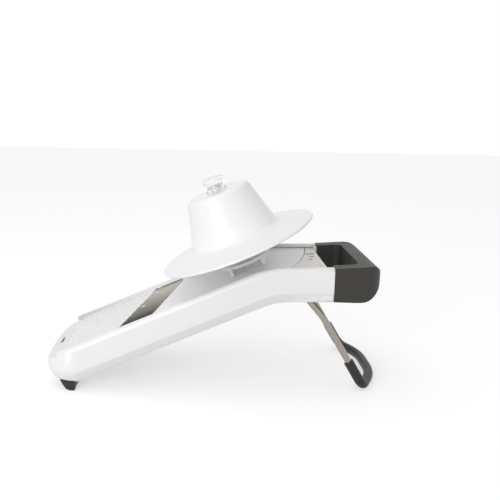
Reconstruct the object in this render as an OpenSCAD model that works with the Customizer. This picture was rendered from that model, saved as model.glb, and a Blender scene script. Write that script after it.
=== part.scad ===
// Mandoline slicer: sloping deck between two rails, slanting blade, tilting
// runway set by a knob, fold-out stand and a spring food holder.
// Millimetres, +X from the nose to the handle, +Z up, table at Z = 0.
// Lengths along the body are written from the nose tip, and the whole part is
// moved at the end so that X = 0 is the middle of its length.

/* [Body] */
// Overall length, nose tip to handle end
total_len = 353; // [345:1:372]
// Width over the two rails
body_w = 132; // [124:1:146]
// Height of the handle above the table
top_z = 134.5; // [130:0.5:142]
// Slope of the slicing deck, degrees
slope_deg = 22.8; // [21.5:0.1:23.8]
// Nose tip to the bend in the rails
bend_x = 233.7; // [228:0.1:238]
// Radius of the bend, along the rail tops
bend_r = 110; // [90:1:120]
// Depth of the side walls
side_h = 37.2; // [34:0.2:39]
// Side wall thickness
wall_t = 3; // [2.5:0.1:4]
// Width of the rail tops
rail_w = 6; // [5:0.1:8]
// Thickness of the rail tops
rail_t = 4; // [3:0.1:4.2]
// Rounding of the rails' outer top edge
rail_r = 5.4; // [2:0.1:6]
// Height of the walls' leaning lower band
band_h = 9.7; // [7:0.1:11]
// How far that band leans in
band_in = 4.2; // [3:0.1:5]
// Radius of the nose in plan
nose_r = 400; // [250:10:600]
// Radius of the nose corners in plan
corner_r = 34; // [28:1:42]
// Height of the nose's underside above the table
nose_z = 9.9; // [8:0.1:13]
// Width of each front foot
foot_w = 27; // [18:1:34]
// Length of a front foot where it meets the table
foot_l = 5; // [4:0.5:8]
// Start of that length, from the nose tip
foot_x = 26; // [24:0.5:28]

/* [Deck] */
// Depth of the deck below the rail tops
deck_drop = 5; // [4.8:0.1:6]
// Landing and deck plate thickness
plate_t = 3; // [2.4:0.1:4]
// Number of grooves in the landing
groove_n = 9; // [5:1:12]
// Groove width
groove_w = 4; // [2:0.1:5]
// Groove depth
groove_d = 0.8; // [0.4:0.1:1.2]
// Length of the hanging slot in the nose
slot_len = 20; // [10:1:30]
// Width of the hanging slot
slot_w = 3.4; // [2:0.1:4]
// Deck plate's edge at the hand hole, from the grip's front
deck_end = 3.5; // [2:0.5:7]
// Radius of the runway's upper end
arc_r = 300; // [250:5:400]
// Runway's upper end, from the deck plate's edge
arc_x = 8.7; // [8:0.1:12]

/* [Blade] */
// Blade heel along the slope, at the middle
blade_u = 95.3; // [88:0.1:100]
// Blade width along the slope
blade_w = 36; // [30:0.5:40]
// Slant of the blade, degrees
skew_deg = 18.5; // [12:0.5:20]
// Blade thickness
blade_t = 1.2; // [0.8:0.1:1.6]
// Length of the ground bevel
bevel_w = 7; // [3:0.5:9]
// Carrier thickness
carrier_t = 2.8; // [2:0.1:3.4]
// Rivet head diameter
rivet_d = 5; // [3.5:0.1:6]
// Distance of the outer rivets from the walls
rivet_y = 18; // [14:0.5:24]

/* [Runway] */
// Runway thickness
runway_t = 2.6; // [2:0.1:3.2]
// Gap between the blade's edge and the runway
runway_gap = 2; // [1.6:0.1:3]
// Largest slice thickness
slice_max = 8; // [5:0.5:9]
// Runway pivot, from the deck plate's edge
hinge_x = 33; // [31:0.5:35]
// Runway pivot pin diameter
pin_d = 4; // [3:0.1:5]

/* [Knob] */
// Knob shaft along the slope
knob_u = 192; // [188:1:196]
// Knob diameter
knob_d = 34; // [26:1:36]
// Knob thickness
knob_t = 14; // [10:1:18]
// Shaft diameter
shaft_d = 6; // [5:0.1:7]
// Turn from thinnest to thickest, degrees
knob_turn = 270; // [200:10:300]

/* [Handle] */
// Length of the black grip
grip_len = 52.5; // [48:0.5:56]
// Width of the grip's crossbar
bar_w = 24; // [20:1:27]
// Width of the grip's two arms
arm_w = 15; // [14:0.5:18]
// Thickness of the tongues inside the arms
tongue_t = 6; // [4:0.5:7]
// Depth of the tongues into the grip
tongue_l = 28; // [18:1:32]

/* [Stand] */
// Stand pivot, from the deck plate's edge
stand_x = 29.5; // [27:0.5:33]
// Height of the stand pivot
stand_z = 108; // [106:0.5:110]
// Reach of the stand's foot behind its pivot
stand_reach = 69; // [62:0.1:74]
// Distance of the legs' bend behind the pivot
knee_x = 24.2; // [20:0.1:28]
// Drop of the legs' bend below the pivot
knee_z = 28.1; // [22:0.1:34]
// Stand wire diameter
wire_d = 7; // [5:0.1:8]
// Diameter over the rubber sleeve
sleeve_d = 10.5; // [9:0.1:13]
// Length of sleeve up each leg
sleeve_len = 31; // [25:1:45]
// Bow of the crossbar
bow = 17; // [8:0.5:20]
// Distance of each leg's top from the middle
leg_y = 54; // [48:0.5:55]
// Distance of each foot from the middle
foot_y = 64; // [60:0.5:66]

/* [Food holder] */
// Holder along the slope
holder_u = 230.8; // [226:0.2:234]
// Height of the brim above the rail tops
holder_h = 24; // [20:0.5:27]
// Brim diameter
brim_d = 176; // [160:1:190]
// Height of the holder above its brim
hat_h = 62; // [56:0.5:68]
// Radius at the top of the cone
hat_r1 = 35; // [30:0.5:38]
// Radius at the foot of the cone
hat_r2 = 51; // [46:0.5:56]
// Holder wall thickness
hat_t = 2.5; // [2:0.1:3]
// Plunger rod diameter
rod_d = 11; // [9:0.5:13]
// Plunger knob diameter
button_d = 23; // [20:0.5:30]
// Plunger knob height
button_h = 15; // [10:0.5:20]
// Gripping plate diameter
grip_plate_d = 58; // [48:1:62]
// Number of prongs
prong_n = 6; // [4:1:8]
// Prong length
prong_l = 9; // [6:0.5:11]
// Prong diameter
prong_d = 2; // [1.6:0.1:3]
// Spring wire diameter
spring_wire = 1.6; // [1.2:0.1:2]
// Spring coils
spring_n = 7; // [4:1:10]

/* [Fits] */
// Running clearance on a radius
run_c = 0.05; // [0.02:0.01:0.1]
// Gap between plates that touch nothing
fit_c = 0.3; // [0.2:0.05:0.5]

/* [Hidden] */
$fn = 64;
NODES = ["frame","deck_plate","landing_plate","handle_grip","grip_screw_left",
 "grip_screw_right","deck_screw_left","deck_screw_right","front_foot_left",
 "front_foot_right","runway","runway_pin","blade","blade_carrier","rivet_left",
 "rivet_mid","rivet_right","knob","knob_cap","cam_shaft","stand_wire",
 "stand_sleeve","hat","hat_brim","plunger_knob","plunger_rod","prong_plate","prongs",
 "plunger_nut","plunger_spring"];

half = body_w/2;
S = slope_deg;
tt = bend_r*tan(S/2);            // tangent length of the bend
xc = bend_x + tt;                // centre of the bend
zc = top_z - bend_r;
z0 = top_z - bend_x*tan(S);      // rail top line at the nose tip
u_bend = bend_x/cos(S) - tt;     // slope ends here, measured along it
tsk = tan(skew_deg);
in_y = half - wall_t;            // inner face of the walls
arm_end = total_len - grip_len;
deck_px = arm_end - deck_end;    // places along X, from the nose tip
arc_px = deck_px - arc_x;
hinge_px = deck_px - hinge_x;
stand_px = deck_px - stand_x;
// Height of the rail tops above x
function rail_z(x) = x < xc - bend_r*sin(S) ? z0 + x*tan(S)
  : x < xc ? zc + sqrt(bend_r*bend_r - (xc - x)*(xc - x)) : top_z;
edge_u = blade_u + blade_w;      // cutting edge at the middle
// The nose's underside is level up to flat_x and the nose ends at nose_end
flat_x = (nose_z + side_h/cos(S) - z0)/tan(S);
nose_end = 54;
grip_drop = side_h - 2;          // depth of the grip's ends
ps = atan(tsk*cos(S));           // slant of the blade seen in plan
hinge_z = rail_z(hinge_px) - deck_drop - runway_t - pin_d/2 - 5.9;
carrier_v = -deck_drop - blade_t;
bed_v = carrier_v - carrier_t - fit_c;
// Runway tilt that lowers its edge by slice_max
tilt_arm = (hinge_px - edge_u*cos(S))*cos(ps);
tilt_deg = asin(slice_max/sqrt(tilt_arm*tilt_arm
  + pow(hinge_z - z0 - edge_u*sin(S) + deck_drop*cos(S), 2)));
cam_y = 38;                      // distance of each cam from the middle
cam_w = 5;
cam_rest = 30;                   // turn past the end with no rise, degrees
// Cam: its radius falls by what the runway drops above the cam farther
// from the slanting pivot
hinge_u = hinge_px*cos(S) + (hinge_z - z0)*sin(S);
cam_drop = ((hinge_u - knob_u)*cos(ps) + cam_y*sin(ps))*tan(tilt_deg);
cam_r1 = shaft_d/2 + 1.6 + cam_drop;
wire_bend = 5;                   // radius of the wire's bends at its bosses
lap = 0.05;                      // bends are thinner by this, to join cleanly
rib_h = 3;
cam_gap = 0.6;
shaft_v = -deck_drop - runway_t - rib_h - cam_gap - cam_r1;
foot_z = sleeve_d/2;
leg_len = sqrt(pow(stand_reach - knee_x, 2) + pow(stand_z - knee_z - foot_z, 2));
holder_v = holder_h;
// Middle of the part, between the nose tip and what reaches furthest back
x_mid = max(total_len, stand_px + stand_reach + bow + sleeve_d/2)/2;
plate_v = -deck_drop + 0.2;      // lowest point of the plunger's feet
foot_post = 11;

// Frames of reference
module place() translate([-x_mid, 0, 0]) children();
module slope() translate([0, 0, z0]) rotate([0, -S, 0]) children();
module holder() slope() translate([holder_u, 0, holder_v]) children();
module bar_x(x0, x1) translate([x0, 0, 0]) rotate([90, 0, 90])
  linear_extrude(x1 - x0) children();
module wide(w) rotate([90, 0, 0]) linear_extrude(w, center = true) children();
module both() { children(); mirror([0, 1, 0]) children(); }

// Sweeps a section along the rail line. Child 0 is the section and child 1
// the bend's, which is lap smaller all round and runs into both straights.
module sweep(u0, x1) {
  slope() bar_x(u0, u_bend) children(0);
  translate([xc, 0, zc]) rotate([90, 0, 0]) rotate([0, 0, 90 - 0.5])
    rotate_extrude(angle = S + 1, $fn = 180) translate([bend_r, 0]) rotate(-90)
    mirror([1, 0]) children(1);
  translate([0, 0, top_z]) bar_x(xc, x1) children(0);
}
// A flat band across the body, from depth d1 to d2
module band(u0, x1, d1, d2, w) sweep(u0, x1) {
  band_2d(d1, d2, w);
  band_2d(d1 + lap, d2 - lap, w - 2*lap);
}
module band_2d(d1, d2, w) translate([-w/2, -d2]) square([w, d2 - d1]);

// The rails' cross-section, half of it, y outwards; e makes it thinner
module rail_2d(e = 0) polygon(concat(
  [[half - rail_w - 0.3 + e, -e]], bend_pts(rail_r, -rail_r, rail_r - e, 0, 90),
  band_pts(e), [[half - band_in - wall_t + 0.9, -side_h + e],
   [half - band_in - wall_t + 0.2 + e, -side_h + 0.6 + e],
   [half - wall_t - 0.6 + e, -side_h + band_h - 0.6], [in_y + e, -side_h + band_h + 0.8]],
  [[in_y + e, -rail_t + e], [half - rail_w - 0.3 + e, -rail_t + e]]));
// Its outer face, down over the leaning band
function band_pts(e) = let (b = -side_h + band_h) [[half - e, b + 1.2],
  [half - 0.2 - e, b + 0.2], [half - 0.7 - e, b - 0.8],
  [half - band_in - e, -side_h + 0.9 + e], [half - band_in - 0.5 - e, -side_h + 0.25 + e],
  [half - band_in - 1.1, -side_h + e]];
// Everything between the two outer faces
module outline_2d(e) polygon(concat([[-half + e, 20], [half - e, 20]], band_pts(e),
  [for (i = [5 : -1 : 0]) [-band_pts(e)[i][0], band_pts(e)[i][1]]]));
function bend_pts(y, z, r, a0, a1) = [for (i = [0 : 6])
  let (a = a0 + (a1 - a0)*i/6) [half - y + r*sin(a), z + r*cos(a)]];

// Everything of the body stays inside this outline
module nose_form(e = 0) intersection() {
  translate([nose_r, 0, 0]) rotate_extrude($fn = 180) nose_2d(nose_r, e);
  union() {
    translate([corner_r, -half + e, -50]) cube([total_len + 20, body_w - 2*e, 400]);
    translate([e, -half + corner_r, -50])
      cube([corner_r*2, body_w - 2*corner_r, 400]);
    both() translate([corner_r, half - corner_r, 0])
      rotate_extrude($fn = 96) nose_2d(corner_r, e);
  }
}
module nose_2d(r, e) polygon([[0, -50], [max(r - 37, 0.5), -50],
  [max(r - 37, 0.5), nose_z + e],
  [r - 7 - e, nose_z + e], [r - 4.8 - e, nose_z + 1.5 + e],
  [r - 3.2 - e, nose_z + 4.2 + e], [r - 1.7 - e, nose_z + 8 + e],
  [r - 0.6 - e, nose_z + 11 + e], [r - e, nose_z + 14.5 + e], [r - e, 350], [0, 350]]);
// Heights of the body's underside and of a line at depth d, above x
function low(x, d) = z0 + x*tan(S) - d/cos(S);

// Plan shape along the blade: u0 to u1 at the middle, slanting with it
module slant_2d(u0, u1, y0, y1) polygon([
  [u0 + y0*tsk, y0], [u1 + y0*tsk, y0], [u1 + y1*tsk, y1], [u0 + y1*tsk, y1]]);
module slant(u0, u1, y0, y1, v0, v1) slope() translate([0, 0, v0])
  linear_extrude(v1 - v0) slant_2d(u0, u1, y0, y1);

// Runway's upper end: everything nearer the nose than the arc
module arc_side(g = 0) translate([arc_px - arc_r, 90, -10])
  cylinder(r = arc_r + g, h = 300, $fn = 360);

// Runway pivot line, z along it
module hinge_axis() translate([hinge_px, 0, hinge_z]) rotate([0, 0, -ps])
  rotate([-90, 0, 0]) children();

// A block as long as the nose, from height h over the underside to depth d
module nose_block(x0, x1, w, h, d) let (xf = flat_x - (h > 0 ? 0 : 7))
  wide(w) polygon([[x0, low(xf, side_h) + h], [xf, low(xf, side_h) + h],
    [x1, low(x1, side_h) + h], [x1, low(x1, d)], [x0, low(x0, d)]]);

module frame() color("white") difference() {
  intersection() {
    union() {
      both() sweep(-12, arm_end) { rail_2d(); rail_2d(lap); }
      // nose: floor and front wall, with a ledge inside for the landing
      difference() {
        intersection() {
          nose_block(-2, nose_end, 2*in_y + 1, -0.15, deck_drop);
          slope() bar_x(-60, 120) outline_2d(0.3);
        }
        intersection() {
          nose_block(-3, nose_end + 1, 2*in_y - fit_c, wall_t, deck_drop + plate_t + 0.2);
          nose_form(wall_t + 2);
        }
        intersection() {
          wide(2*in_y - fit_c) polygon([[-3, low(-3, deck_drop + plate_t + 0.2)],
            [nose_end + 1, low(nose_end + 1, deck_drop + plate_t + 0.2)],
            [nose_end + 1, low(nose_end + 1, -5)], [-3, low(-3, -5)]]);
          nose_form(wall_t);
        }
      }
      // the wall's raised ends under the rails
      difference() {
        both() translate([0, in_y - 1.2, 0]) wide(3.2) polygon([[-2, low(-2, 6)],
          [36, low(36, 6)], [36, low(36, 2)], [-2, low(-2, 2)]]);
        intersection() {
          nose_form(wall_t);
          translate([-5, -in_y + fit_c/2, 0]) cube([60, 2*in_y - fit_c, 100]);
        }
      }
      // ledges under the landing
      for (s = [-1, 1]) slope()
        translate([38, s > 0 ? in_y - 4 : -in_y - 0.5, -deck_drop - plate_t - 2.5])
        cube([blade_u + (s > 0 ? in_y - 4 : -in_y)*tsk - 5 - 38, 4.5, 2.5]);
      // bed under the blade carrier
      slant(blade_u - 2, blade_u + blade_w*0.45, -in_y - 0.5, in_y + 0.5,
        bed_v - 3, bed_v);
      both2(blade_u + blade_w*0.4, edge_u - 2);
      // bosses of the knob's shaft
      both() slope() translate([knob_u, in_y - 5, shaft_v])
        rotate([-90, 0, 0]) cylinder(d = shaft_d + 6, h = 5.5);
      // ears of the runway's pivot
      for (s = [-1, 1]) translate([hinge_px + s*(half - 8)*tan(ps) - 6.5,
        s > 0 ? half - 11.5 : -half + 2, hinge_z - 6]) cube([13, 9.5, 10]);
      // bosses of the stand's pivot
      both() translate([stand_px, leg_y + wire_bend + 0.4, stand_z])
        rotate([-90, 0, 0])
        cylinder(d = wire_d + 7, h = in_y + 0.1 - leg_y - wire_bend);
      // rib that closes the deck at the handle
      translate([deck_px - 11, -in_y - 0.5, top_z - deck_drop - plate_t - 7.5])
        cube([11, body_w - 2*wall_t + 1, 7.5]);
      translate([deck_px - wall_t, -in_y - 0.5, top_z - side_h + 4])
        cube([wall_t, body_w - 2*wall_t + 1, side_h - deck_drop - plate_t - 4]);
      // arm ends and the tongues that carry the grip
      both() translate([deck_px - 9, half - arm_w, top_z - side_h + 3])
        cube([arm_end - deck_px + 9, arm_w - 1, side_h - 3 - deck_drop - plate_t]);
      both() translate([deck_px + fit_c, half - arm_w, top_z - side_h + 3])
        cube([arm_end - deck_px - fit_c, arm_w - 1, side_h - 5]);
      both() tongue(0);
    }
    union() {
      nose_form();
      translate([60, -half, 0]) cube([total_len, body_w, 300]);
    }
  }
  // way out for the blade carrier, through the far wall
  slant(blade_u - fit_c, edge_u + fit_c, in_y - 8, half + 10,
    carrier_v - carrier_t - fit_c, -rail_t - fit_c);
  // shaft: blind in the near wall, right through the far one
  slope() translate([knob_u, -in_y - 0.4, shaft_v]) rotate([-90, 0, 0])
    cylinder(d = shaft_d + 2*run_c, h = body_w);
  // runway pin
  hinge_axis() cylinder(d = pin_d, h = 2*(in_y/cos(ps) - 0.6), center = true);
  // stand pivots
  both() translate([stand_px, 0, stand_z]) rotate([-90, 0, 0])
    cylinder(d = wire_d + 2*run_c, h = in_y + 0.5);
  // screw holes of the deck plate and the grip
  for (s = [-1, 1]) {
    translate([deck_px - 5.5, s*30, top_z - deck_drop - plate_t - 6])
      cylinder(d = 3, h = 20);
    translate([arm_end + tongue_l/2, s*tongue_y(), 0]) cylinder(d = 3, h = top_z - side_h/2 + 4);
  }
}
// end ledges of the bed, one at each wall
module both2(u0, u1) for (s = [-1, 1])
  slant(u0, u1, s > 0 ? in_y - 9 : -in_y - 0.5, s > 0 ? in_y + 0.5 : -in_y + 9,
    bed_v - 3, bed_v);
function tongue_y() = half - arm_w/2;
module tongue(c) translate([arm_end - 1, tongue_y() - tongue_t/2 - c,
  top_z - side_h/2 - 9 - c]) cube([tongue_l + 1 + c, tongue_t + 2*c, 18 + 2*c]);

module landing_plate() color("whitesmoke") intersection() {
  difference() {
    slope() translate([0, 0, -deck_drop - plate_t]) linear_extrude(plate_t)
      polygon([[-12, -in_y + fit_c], [blade_u - 2*fit_c - (in_y - fit_c)*tsk, -in_y + fit_c],
        [blade_u - 2*fit_c + (in_y - fit_c)*tsk, in_y - fit_c], [-12, in_y - fit_c]]);
    // grooves
    pitch = (body_w - 2*rail_w)/(groove_n + 1);
    groove_r = groove_w*groove_w/8/groove_d + groove_d/2;
    for (i = [1 : groove_n]) slope()
      translate([16, -half + rail_w + i*pitch, -deck_drop - groove_d + groove_r])
      rotate([0, 90, 0])
      cylinder(r = groove_r, h = blade_u - 22 + (-half + rail_w + i*pitch)*tsk);
    // hanging slot
    translate([7.5, -slot_len/2, 0]) cube([slot_w, slot_len, 90]);
  }
  nose_form(wall_t + 0.2);
}

module deck_plate() color("gainsboro") difference() {
  intersection() {
    band(u_bend - 2*tt, deck_px, deck_drop, deck_drop + plate_t, 2*(in_y - fit_c));
    translate([bend_x, -half, zc]) cube([total_len, body_w, bend_r]);
  }
  arc_side(0.8);
  for (s = [-1, 1]) {
    translate([deck_px - 5.5, s*30, zc]) cylinder(d = 3.4, h = bend_r);
    translate([deck_px - 5.5, s*30, top_z - deck_drop - 1.5])
      cylinder(d = 6.4, h = 20);
  }
}
module deck_screw(s) color("silver") translate([deck_px - 5.5, s*30,
  top_z - deck_drop - plate_t]) {
  translate([0, 0, -5]) cylinder(d = 3, h = 6);
  translate([0, 0, 1.5]) cylinder(d = 6, h = 1.3);
  translate([0, 0, -1]) cylinder(d = 3, h = 3);
}

// Grip outline seen from the side
module grip_2d() polygon([
  [arm_end, top_z], [arm_end + 16, top_z + 0.6], [total_len - 14, top_z + 2.2],
  [total_len - 5, top_z + 1.6], [total_len - 1.4, top_z - 1.5],
  [total_len, top_z - 6], [total_len, top_z - 13], [total_len - 2.6, top_z - 21],
  [total_len - 8, top_z - 28], [total_len - 17, top_z - grip_drop + 0.6],
  [total_len - 30, top_z - grip_drop - 1], [arm_end, top_z - grip_drop - 0.4]]);
module handle_grip() color("#2b2a28") difference() {
  intersection() {
    wide(body_w + 1) grip_2d();
    translate([arm_end, -half - 0.4, 0]) {
      cube([grip_len - 18, body_w + 0.8, 200]);
      translate([0, 18, 0]) cube([grip_len, body_w + 0.8 - 36, 200]);
      for (y = [18, body_w + 0.8 - 18]) translate([grip_len - 18, y, 0])
        cylinder(r = 18, h = 200);
    }
  }
  // hand hole
  translate([arm_end - 5, -half + arm_w, 0])
    cube([grip_len - bar_w + 5 - 8, body_w - 2*arm_w, 200]);
  translate([arm_end - 5, -half + arm_w + 8, 0])
    cube([grip_len - bar_w + 5, body_w - 2*arm_w - 16, 200]);
  both() translate([total_len - bar_w - 8, half - arm_w - 8, 0])
    cylinder(r = 8, h = 200);
  both() tongue(0.15);
  for (s = [-1, 1]) translate([arm_end + tongue_l/2, s*tongue_y(), 0]) {
    cylinder(d = 3.4, h = top_z - side_h/2);
    cylinder(d = 6.4, h = top_z - grip_drop + 3);
  }
}
module grip_screw(s) color("silver")
  translate([arm_end + tongue_l/2, s*tongue_y(), top_z - grip_drop]) {
    translate([0, 0, 1.4]) cylinder(d = 6, h = 1.6);
    translate([0, 0, 2]) cylinder(d = 3, h = grip_drop - side_h/2 - 2);
  }

// Rubber foot under a nose corner
module front_foot(s) color("#1d1d1d") mirror([0, s < 0 ? 1 : 0, 0]) difference() {
  intersection() {
    front_foot_2d();
    union() {
      translate([corner_r, half - corner_r, -1]) cylinder(r = corner_r - 5.5, h = 40);
      translate([corner_r, 0, -1]) cube([40, half - 5.5, 40]);
      translate([5, 0, -1]) cube([40, half - corner_r, 40]);
    }
  }
  wide(body_w) polygon([[0, nose_z], [flat_x, nose_z],
    [nose_end, low(nose_end, side_h)], [nose_end, 60], [0, 60]]);
}
module front_foot_2d() translate([0, half - 5, 0]) rotate([90, 0, 0])
  linear_extrude(foot_w) polygon([
    [foot_x - 10, nose_z + 8], [foot_x - 10, nose_z - 0.8], [foot_x - 7.4, nose_z - 4.6],
    [foot_x - 3.6, 1.3], [foot_x, 0], [foot_x + foot_l, 0],
    [foot_x + foot_l + 1, 0.8], [foot_x + foot_l + 1.5, 2.4],
    [foot_x + foot_l + 1.6, nose_z + 8]]);

module runway() color("white") difference() {
  union() {
    difference() {
      intersection() {
        band(0, deck_px, deck_drop, deck_drop + runway_t, 2*(in_y - 2));
        arc_side(0);
      }
      // lower edge follows the blade
      slant(-100, edge_u + runway_gap, -half - 20, half + 20, -40, 40);
    }
    // ribs that ride on the cams
    both() slope() translate([edge_u + 30, cam_y - 3, -deck_drop - runway_t - rib_h])
      cube([u_bend - edge_u - 32, 6, rib_h + 0.5]);
    // pivot lugs
    for (s = [-1, 1]) hinge_axis() translate([0, 0, s*45 - 4]) {
      cylinder(d = pin_d + 5, h = 8);
      translate([-pin_d/2 - 2.5, -hinge_rise(), 0])
        cube([pin_d + 5, hinge_rise(), 8]);
    }
  }
  hinge_axis() cylinder(d = pin_d + 2*run_c, h = 200, center = true);
}
function hinge_rise() = pin_d/2 + 6.4;
module runway_pin() color("silver") hinge_axis()
  cylinder(d = pin_d, h = 2*(in_y/cos(ps) - 0.8), center = true);

// Blade: heel on the nose side, ground bevel under the cutting edge
module blade() color("#b9b4aa") difference() {
  slant(blade_u, edge_u, -in_y + 1.2, in_y - 1.2, -deck_drop - blade_t, -deck_drop);
  slope() translate([0, 0, -deck_drop - blade_t]) multmatrix([[1, tsk, 0, 0],
    [0, 1, 0, 0], [0, 0, 1, 0], [0, 0, 0, 1]]) rotate([90, 0, 0])
    linear_extrude(3*body_w, center = true) polygon([[edge_u - bevel_w, -0.01],
      [edge_u + 0.1, blade_t*0.85], [edge_u + 0.1, -1], [edge_u - bevel_w, -1]]);
  for (p = rivets()) slope() translate([p[0], p[1], -20]) cylinder(d = 2.4, h = 30);
}
function rivets() = [for (y = [rivet_y - in_y, 6, in_y - rivet_y]) [blade_u + 7 + y*tsk, y]];
module blade_carrier() color("#d8d8d4") difference() {
  union() {
    slant(blade_u, blade_u + blade_w*0.42, -in_y + 0.6, in_y - 0.3,
      carrier_v - carrier_t, carrier_v);
    for (s = [-1, 1]) slant(blade_u + blade_w*0.4, edge_u - 2.5,
      s > 0 ? in_y - 8 : -in_y + 0.6, s > 0 ? in_y - 0.3 : -in_y + 8,
      carrier_v - carrier_t, carrier_v);
    // pull tab outside the far wall
    slant(blade_u + 4, edge_u - 6, in_y - 1, half + 3,
      carrier_v - carrier_t, carrier_v);
    slant(blade_u + 4, edge_u - 6, half + 0.6, half + 3.4,
      carrier_v - carrier_t - 2, carrier_v + 0.8);
  }
  for (p = rivets()) slope() translate([p[0], p[1], -20]) cylinder(d = 2.4, h = 30);
}
module rivet(i) color("silver") slope()
  translate([rivets()[i][0], rivets()[i][1], carrier_v - carrier_t]) {
    cylinder(d = 2.4, h = carrier_t + blade_t);
    translate([0, 0, carrier_t + blade_t - 0.001]) cylinder(d = rivet_d, h = 0.15);
  }

// Knob, its cap and the shaft with two cams
module knob_place() slope() translate([knob_u, 0, shaft_v]) rotate([-90, 0, 0]) children();
module knob() color("#2b2a28") knob_place() difference() {
  union() {
    translate([0, 0, half + 0.6]) cylinder(d = knob_d, h = knob_t - 1.5);
    translate([0, 0, half + 0.6]) cylinder(d = knob_d - 3, h = knob_t);
  }
  for (a = [0 : 30 : 359]) rotate(a) translate([knob_d/2 + 1.4, 0, half + 3])
    cylinder(d = 5, h = knob_t);
  translate([0, 0, half]) cylinder(d = shaft_d, h = knob_t - 3);
  translate([0, 0, half + knob_t - 1.4]) cylinder(d = knob_d*0.5, h = 5);
}
module knob_cap() color("silver") knob_place() {
  translate([0, 0, half + knob_t - 1.4]) cylinder(d = knob_d*0.5, h = 1.6);
  rotate(-90) translate([-0.8, 0, half + knob_t + 0.1]) cube([1.6, knob_d*0.22, 0.5]);
}
function cam_r(a) = cam_r1 - cam_drop*a/knob_turn;
module cam_2d() polygon([for (a = [0 : 6 : 354])
  let (r = a <= knob_turn ? cam_r(a)
    : cam_r(knob_turn) + cam_drop*max(0, a - knob_turn - cam_rest)
      /(360 - knob_turn - cam_rest))
  [r*sin(-a), -r*cos(-a)]]);
module cam_shaft() color("gray") knob_place() {
  translate([0, 0, -in_y + 0.6]) cylinder(d = shaft_d, h = in_y - 0.6 + half + knob_t - 3);
  for (s = [-1, 1]) translate([0, 0, s*cam_y - cam_w/2]) linear_extrude(cam_w) cam_2d();
}

// Stand: bent wire with a rubber sleeve
function top_pt(s) = [stand_px, s*leg_y, stand_z];
// t runs from the bend (0) to the foot (1)
function leg_pt(t, s) = [stand_px + knee_x + (stand_reach - knee_x)*t,
  s*(leg_y + (foot_y - leg_y)*(0.25 + 0.75*t)),
  stand_z - knee_z - (stand_z - knee_z - foot_z)*t];
function bow_pt(s) = [stand_px + stand_reach + bow, s*foot_y*0.46, foot_z];
module rod(a, b, d) {
  v = b - a;
  translate(a) rotate([0, acos(v[2]/norm(v)), atan2(v[1], v[0])])
    cylinder(d = d, h = norm(v));
}
function unit(v) = v/norm(v);
function turn_of(p, i) = acos(unit(p[i] - p[i-1])*unit(p[i+1] - p[i]));
function tan_of(p, r, i) = i == 0 || i == len(p) - 1 ? 0 : r[i]*tan(turn_of(p, i)/2);
// Rods through the points p, with a bend of radius r[i] at each one between
module pipe(p, r, d) {
  for (i = [0 : len(p) - 2]) let (v = unit(p[i+1] - p[i]))
    rod(p[i] + v*tan_of(p, r, i), p[i+1] - v*tan_of(p, r, i + 1), d);
  for (i = [1 : len(p) - 2]) let (a = unit(p[i] - p[i-1]), b = unit(p[i+1] - p[i]),
    m = unit(b - a*(a*b)), n = cross(a, m), c = p[i] - a*tan_of(p, r, i) + m*r[i],
    e = 30/r[i])
    translate(c) multmatrix([[-m[0], a[0], n[0], 0], [-m[1], a[1], n[1], 0],
      [-m[2], a[2], n[2], 0], [0, 0, 0, 1]]) rotate([0, 0, -e])
      rotate_extrude(angle = turn_of(p, i) + 2*e) translate([r[i], 0]) circle(d = d - 2*lap);
}
function wire_pts(t0) = concat(
  t0 < 0 ? [[stand_px, in_y - 0.2, stand_z], top_pt(1), leg_pt(0, 1)] : [leg_pt(t0, 1)],
  [leg_pt(1, 1), bow_pt(1), bow_pt(-1), leg_pt(1, -1)],
  t0 < 0 ? [leg_pt(0, -1), top_pt(-1), [stand_px, -in_y + 0.2, stand_z]] : [leg_pt(t0, -1)]);
wire_r = [0, wire_bend, 40, 10, 78, 78, 10, 40, wire_bend, 0];
foot_r = [0, 10, 78, 78, 10, 0];
module stand_wire() color("#bdb5a8") pipe(wire_pts(-1), wire_r, wire_d);
module stand_sleeve() color("#1d1d1d") difference() {
  pipe(wire_pts(1 - sleeve_len/leg_len), foot_r, sleeve_d);
  pipe(wire_pts(0.3), foot_r, wire_d + 0.04);
}

// Food holder
// One moulding, kept as two solids that meet at the foot of the crown
module hat_crown() color("white") intersection() {
  hat();
  holder() translate([0, 0, 11.6]) cylinder(r = brim_d, h = hat_h);
}
module hat_brim() color("white") intersection() {
  hat();
  holder() translate([0, 0, 11.6 - 30]) cylinder(r = brim_d, h = 30);
}
module hat() holder() difference() {
  rotate_extrude($fn = 128) polygon([
    [rod_d/2 + run_c, hat_h], [hat_r1 - 4, hat_h], [hat_r1 - 1.2, hat_h - 1.2],
    [hat_r1, hat_h - 4], [hat_r2 - 2.6, 14], [hat_r2 - 0.6, 10.5],
    [hat_r2 + 4, 8.6], [brim_d/2 - 4, 2.6], [brim_d/2 - 0.6, 1.9],
    [brim_d/2, 0.6], [brim_d/2 - 0.8, -0.6], [brim_d/2 - 4, 0],
    [hat_r2 + 4, 8.6 - hat_t], [hat_r2 - hat_t - 0.6, 8.6 - hat_t],
    [hat_r2 - hat_t - 2.6, 13], [hat_r1 - hat_t, hat_h - 4],
    [hat_r1 - hat_t - 2, hat_h - hat_t], [rod_d/2 + 3.2, hat_h - hat_t],
    [rod_d/2 + 2.6, hat_h - 26], [rod_d/2 + run_c, hat_h - 26]]);
  // small thumb notch in the rim
  translate([-brim_d/2 + 4, 32, -5]) rotate(-20) cube([2.4, 7, 20], center = true);
}
rod_lo = plate_v - holder_v + foot_post;   // top of the gripping plate
module plunger_rod() color("whitesmoke") holder() {
  translate([0, 0, rod_lo]) cylinder(d = rod_d, h = hat_h + 1 + 7 - rod_lo);
  translate([0, 0, rod_lo - 3 - 5]) cylinder(d = 4, h = 8);
}
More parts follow.
